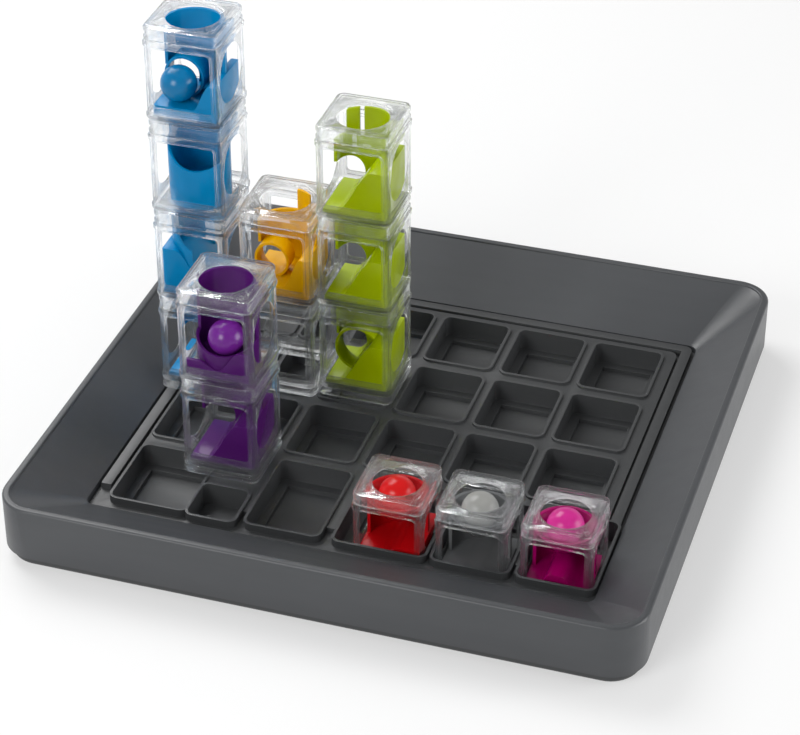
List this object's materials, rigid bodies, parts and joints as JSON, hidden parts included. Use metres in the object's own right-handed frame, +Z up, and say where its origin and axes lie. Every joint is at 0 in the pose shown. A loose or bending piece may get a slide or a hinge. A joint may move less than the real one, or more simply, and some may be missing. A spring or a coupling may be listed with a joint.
{
  "type": "marble logic puzzle",
  "caption": "Dished tray with a grid of collared pockets, towers of clear cubes holding coloured chutes, single cubes and loose marbles.",
  "frame": {"origin": "on the table, under the middle of the tray", "axes": "+X along the front edge to the right, +Y to the back, +Z up"},
  "size_m": [0.28, 0.27, 0.1987],
  "materials": {
    "tray_plastic": "satin dark grey moulding",
    "grid_plastic": "satin dark grey moulding",
    "pan_plastic": "matt dark grey moulding",
    "feet": "matt rubber",
    "steel": "plain steel",
    "clear": "clear polished acrylic",
    "blue_insert": "gloss blue moulding",
    "green_insert": "gloss lime moulding",
    "yellow_insert": "gloss amber yellow moulding",
    "purple_insert": "gloss purple moulding",
    "red_insert": "gloss red moulding",
    "grey_insert": "gloss grey moulding",
    "pink_insert": "gloss magenta moulding",
    "blue_glass": "polished blue marble",
    "purple_glass": "polished purple marble",
    "red_glass": "polished red marble",
    "grey_glass": "polished grey marble",
    "pink_glass": "polished pink marble"
  },
  "bodies": {
    "tray": {"tray_rim": "tray_plastic", "pocket_grid": "grid_plastic", "base_pan": "pan_plastic", "rubber_feet": "feet", "pan_screws": "steel"},
    "blue_tower": {"blue_plinth": "clear", "blue_body_1": "clear", "blue_lid_1": "clear", "blue_body_2": "clear", "blue_lid_2": "clear", "blue_body_3": "clear", "blue_lid_3": "clear", "blue_body_4": "clear", "blue_lid_4": "clear", "blue_chute_1": "blue_insert", "blue_chute_2": "blue_insert", "blue_chute_3": "blue_insert", "blue_chute_4": "blue_insert"},
    "green_tower": {"green_plinth": "clear", "green_body_1": "clear", "green_lid_1": "clear", "green_body_2": "clear", "green_lid_2": "clear", "green_body_3": "clear", "green_lid_3": "clear", "green_chute_1": "green_insert", "green_chute_2": "green_insert", "green_chute_3": "green_insert"},
    "yellow_tower": {"yellow_plinth": "clear", "yellow_body_1": "clear", "yellow_lid_1": "clear", "yellow_body_2": "clear", "yellow_lid_2": "clear", "yellow_chute_2": "yellow_insert"},
    "purple_tower": {"purple_plinth": "clear", "purple_body_1": "clear", "purple_lid_1": "clear", "purple_body_2": "clear", "purple_lid_2": "clear", "purple_chute_1": "purple_insert", "purple_chute_2": "purple_insert"},
    "red_cube": {"red_body": "clear", "red_lid": "clear", "red_chute": "red_insert"},
    "grey_cube": {"grey_body": "clear", "grey_lid": "clear", "grey_chute": "grey_insert"},
    "pink_cube": {"pink_body": "clear", "pink_lid": "clear", "pink_chute": "pink_insert"},
    "blue_marble": {"blue_marble": "blue_glass"},
    "purple_marble": {"purple_marble": "purple_glass"},
    "red_marble": {"red_marble": "red_glass"},
    "grey_marble": {"grey_marble": "grey_glass"},
    "pink_marble": {"pink_marble": "pink_glass"}
  },
  "joints": [
    {"name": "blue_tower_lift", "type": "slide", "parent": "tray", "child": "blue_tower", "axis": [0, 0, 1], "range_m": [0, 0.06]},
    {"name": "green_tower_lift", "type": "slide", "parent": "tray", "child": "green_tower", "axis": [0, 0, 1], "range_m": [0, 0.06]},
    {"name": "yellow_tower_lift", "type": "slide", "parent": "tray", "child": "yellow_tower", "axis": [0, 0, 1], "range_m": [0, 0.06]},
    {"name": "purple_tower_lift", "type": "slide", "parent": "tray", "child": "purple_tower", "axis": [0, 0, 1], "range_m": [0, 0.06]},
    {"name": "red_cube_lift", "type": "slide", "parent": "tray", "child": "red_cube", "axis": [0, 0, 1], "range_m": [0, 0.04]},
    {"name": "grey_cube_lift", "type": "slide", "parent": "tray", "child": "grey_cube", "axis": [0, 0, 1], "range_m": [0, 0.04]},
    {"name": "pink_cube_lift", "type": "slide", "parent": "tray", "child": "pink_cube", "axis": [0, 0, 1], "range_m": [0, 0.04]},
    {"name": "blue_marble_roll", "type": "slide", "parent": "blue_tower", "child": "blue_marble", "axis": [0, -1, 0], "range_m": [0, 0.03]},
    {"name": "purple_marble_lift", "type": "slide", "parent": "purple_tower", "child": "purple_marble", "axis": [0, 0, 1], "range_m": [0, 0.05]},
    {"name": "red_marble_lift", "type": "slide", "parent": "red_cube", "child": "red_marble", "axis": [0, 0, 1], "range_m": [0, 0.03]},
    {"name": "grey_marble_lift", "type": "slide", "parent": "grey_cube", "child": "grey_marble", "axis": [0, 0, 1], "range_m": [0, 0.03]},
    {"name": "pink_marble_lift", "type": "slide", "parent": "pink_cube", "child": "pink_marble", "axis": [0, 0, 1], "range_m": [0, 0.03]}
  ]
}
